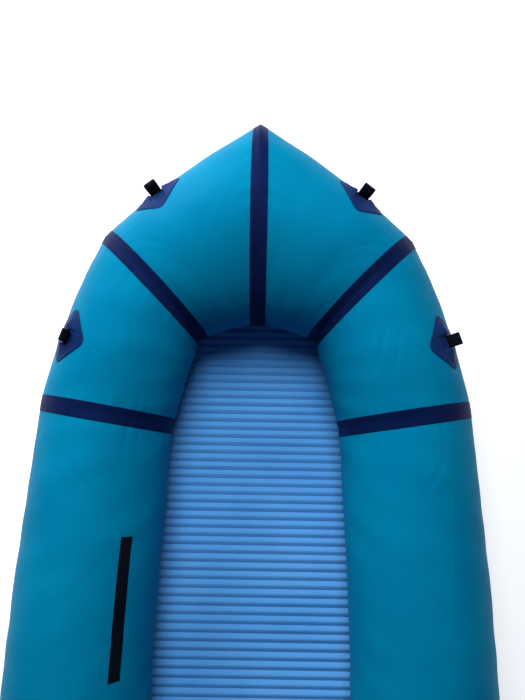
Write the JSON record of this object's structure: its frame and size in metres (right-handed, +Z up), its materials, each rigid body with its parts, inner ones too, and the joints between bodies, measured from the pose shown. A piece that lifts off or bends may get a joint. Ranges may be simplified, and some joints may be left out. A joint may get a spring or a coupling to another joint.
{
  "type": "packraft",
  "caption": "Inflatable one-person raft: pointed tube hull with taped seams, ribbed floor mat, seat, folding backrest, webbing tie-down loops and inflation valves.",
  "frame": {"origin": "on the ground, under the middle of the raft's overall box", "axes": "+Y towards the bow, +Z up, +X to starboard (right, looking forward)"},
  "size_m": [0.9656, 2.1762, 0.4246],
  "materials": {
    "tube_fabric": "coated, low sheen",
    "tape_fabric": "coated, low sheen",
    "floor_fabric": "matt coated",
    "mat_foam": "matt",
    "patch_fabric": "coated, low sheen",
    "webbing": "woven, matt",
    "valve_plastic": "matt",
    "mouth_plastic": "satin",
    "spring_steel": "bright",
    "cushion_fabric": "coated, matt"
  },
  "bodies": {
    "hull": {"backrest_hinge_strip": "cushion_fabric", "backrest_strap_left": "webbing", "backrest_strap_right": "webbing", "bow_panel_left": "tube_fabric", "bow_panel_right": "tube_fabric", "bow_patch_left": "patch_fabric", "bow_patch_right": "patch_fabric", "bow_seam_tape": "tape_fabric", "floor_mat": "mat_foam", "floor_sheet": "floor_fabric", "floor_tape_left": "tape_fabric", "floor_tape_right": "tape_fabric", "front_seam_tape_left": "tape_fabric", "front_seam_tape_right": "tape_fabric", "quarter_panel_left": "tube_fabric", "quarter_panel_right": "tube_fabric", "quarter_seam_tape_left": "tape_fabric", "quarter_seam_tape_right": "tape_fabric", "rear_seam_tape_left": "tape_fabric", "rear_seam_tape_right": "tape_fabric", "seat_cushion": "cushion_fabric", "seat_valve_stem": "valve_plastic", "shoulder_panel_left": "tube_fabric", "shoulder_panel_right": "tube_fabric", "shoulder_patch_left": "patch_fabric", "shoulder_patch_right": "patch_fabric", "shoulder_seam_tape_left": "tape_fabric", "shoulder_seam_tape_right": "tape_fabric", "side_panel_left": "tube_fabric", "side_panel_right": "tube_fabric", "stern_panel_left": "tube_fabric", "stern_panel_right": "tube_fabric", "stern_patch_left": "patch_fabric", "stern_patch_right": "patch_fabric", "stern_seam_tape": "tape_fabric", "strap_anchor_patch_left": "patch_fabric", "strap_anchor_patch_right": "patch_fabric", "topoff_valve_stem": "valve_plastic", "valve_body": "valve_plastic", "valve_boot": "tube_fabric", "valve_cap_leash": "valve_plastic", "valve_patch": "patch_fabric", "valve_spring": "spring_steel"},
    "backrest": {"backrest_cushion": "cushion_fabric", "backrest_valve_stem": "valve_plastic"},
    "backrest_mouthpiece": {"backrest_mouthpiece": "mouth_plastic"},
    "seat_mouthpiece": {"seat_mouthpiece": "mouth_plastic"},
    "topoff_mouthpiece": {"topoff_mouthpiece": "mouth_plastic"},
    "valve_plunger": {"valve_plunger": "valve_plastic"},
    "valve_cap": {"valve_cap": "valve_plastic"},
    "strap_slider_left": {"strap_slider_left": "valve_plastic"},
    "strap_slider_right": {"strap_slider_right": "valve_plastic"},
    "bow_loop_left": {"bow_loop_left": "webbing"},
    "bow_loop_right": {"bow_loop_right": "webbing"},
    "shoulder_loop_left": {"shoulder_loop_left": "webbing"},
    "shoulder_loop_right": {"shoulder_loop_right": "webbing"},
    "stern_loop_left": {"stern_loop_left": "webbing"},
    "stern_loop_right": {"stern_loop_right": "webbing"}
  },
  "joints": [
    {"name": "backrest_fold", "type": "hinge", "parent": "hull", "child": "backrest", "pos_m": [0, -0.549, 0.12063], "axis": [-1, 0, 0], "range_deg": [0, 70], "deforming": ["backrest_strap_left", "backrest_strap_right", "backrest_hinge_strip"]},
    {"name": "valve_plunger_press", "type": "slide", "parent": "hull", "child": "valve_plunger", "axis": [0.2482, 0.0136, -0.9686], "range_m": [0, 0.005], "stiffness_N_per_m": 400, "springref_m": -0.004, "deforming": ["valve_spring"]},
    {"name": "valve_cap_lift", "type": "hinge", "parent": "hull", "child": "valve_cap", "pos_m": [-0.32202, -0.66448, 0.29504], "axis": [0.8995, 0.368, 0.2356], "range_deg": [0, 140]},
    {"name": "backrest_mouthpiece_twist", "type": "hinge", "parent": "backrest", "child": "backrest_mouthpiece", "pos_m": [0.0412, -0.6357, 0.38673], "axis": [0.0081, -0.9937, 0.1117], "range_deg": [0, 180]},
    {"name": "seat_mouthpiece_twist", "type": "hinge", "parent": "hull", "child": "seat_mouthpiece", "pos_m": [-0.12628, -0.25664, 0.11012], "axis": [-0.1865, 0.2969, 0.9365], "range_deg": [0, 180]},
    {"name": "topoff_mouthpiece_twist", "type": "hinge", "parent": "hull", "child": "topoff_mouthpiece", "pos_m": [-0.27001, -0.19855, 0.26003], "axis": [0.5088, -0.001, 0.8609], "range_deg": [0, 180]},
    {"name": "strap_slider_left_slide", "type": "slide", "parent": "hull", "child": "strap_slider_left", "axis": [0.2432, -0.9096, 0.3369], "range_m": [0, 0.04]},
    {"name": "strap_slider_right_slide", "type": "slide", "parent": "hull", "child": "strap_slider_right", "axis": [-0.2432, -0.9096, 0.3369], "range_m": [0, 0.04]},
    {"name": "bow_loop_left_flop", "type": "hinge", "parent": "hull", "child": "bow_loop_left", "pos_m": [-0.21259, 0.92234, 0.28645], "axis": [-0.8309, -0.4991, -0.2461], "range_deg": [-60, 60], "stiffness_Nm_per_rad": 0.01},
    {"name": "bow_loop_right_flop", "type": "hinge", "parent": "hull", "child": "bow_loop_right", "pos_m": [0.21259, 0.92234, 0.28645], "axis": [0.8309, -0.4991, -0.2461], "range_deg": [-60, 60], "stiffness_Nm_per_rad": 0.01},
    {"name": "shoulder_loop_left_flop", "type": "hinge", "parent": "hull", "child": "shoulder_loop_left", "pos_m": [-0.38463, 0.62516, 0.25933], "axis": [-0.3375, -0.9353, -0.1067], "range_deg": [-2, 118], "stiffness_Nm_per_rad": 0.01},
    {"name": "shoulder_loop_right_flop", "type": "hinge", "parent": "hull", "child": "shoulder_loop_right", "pos_m": [0.38463, 0.62516, 0.25933], "axis": [0.3375, -0.9353, -0.1067], "range_deg": [-60, 60], "stiffness_Nm_per_rad": 0.01},
    {"name": "stern_loop_left_flop", "type": "hinge", "parent": "hull", "child": "stern_loop_left", "pos_m": [-0.20109, -0.96999, 0.23178], "axis": [0.895, -0.4356, 0.0957], "range_deg": [-60, 60], "stiffness_Nm_per_rad": 0.01},
    {"name": "stern_loop_right_flop", "type": "hinge", "parent": "hull", "child": "stern_loop_right", "pos_m": [0.20109, -0.96999, 0.23178], "axis": [-0.895, -0.4356, 0.0957], "range_deg": [-60, 60], "stiffness_Nm_per_rad": 0.01}
  ]
}
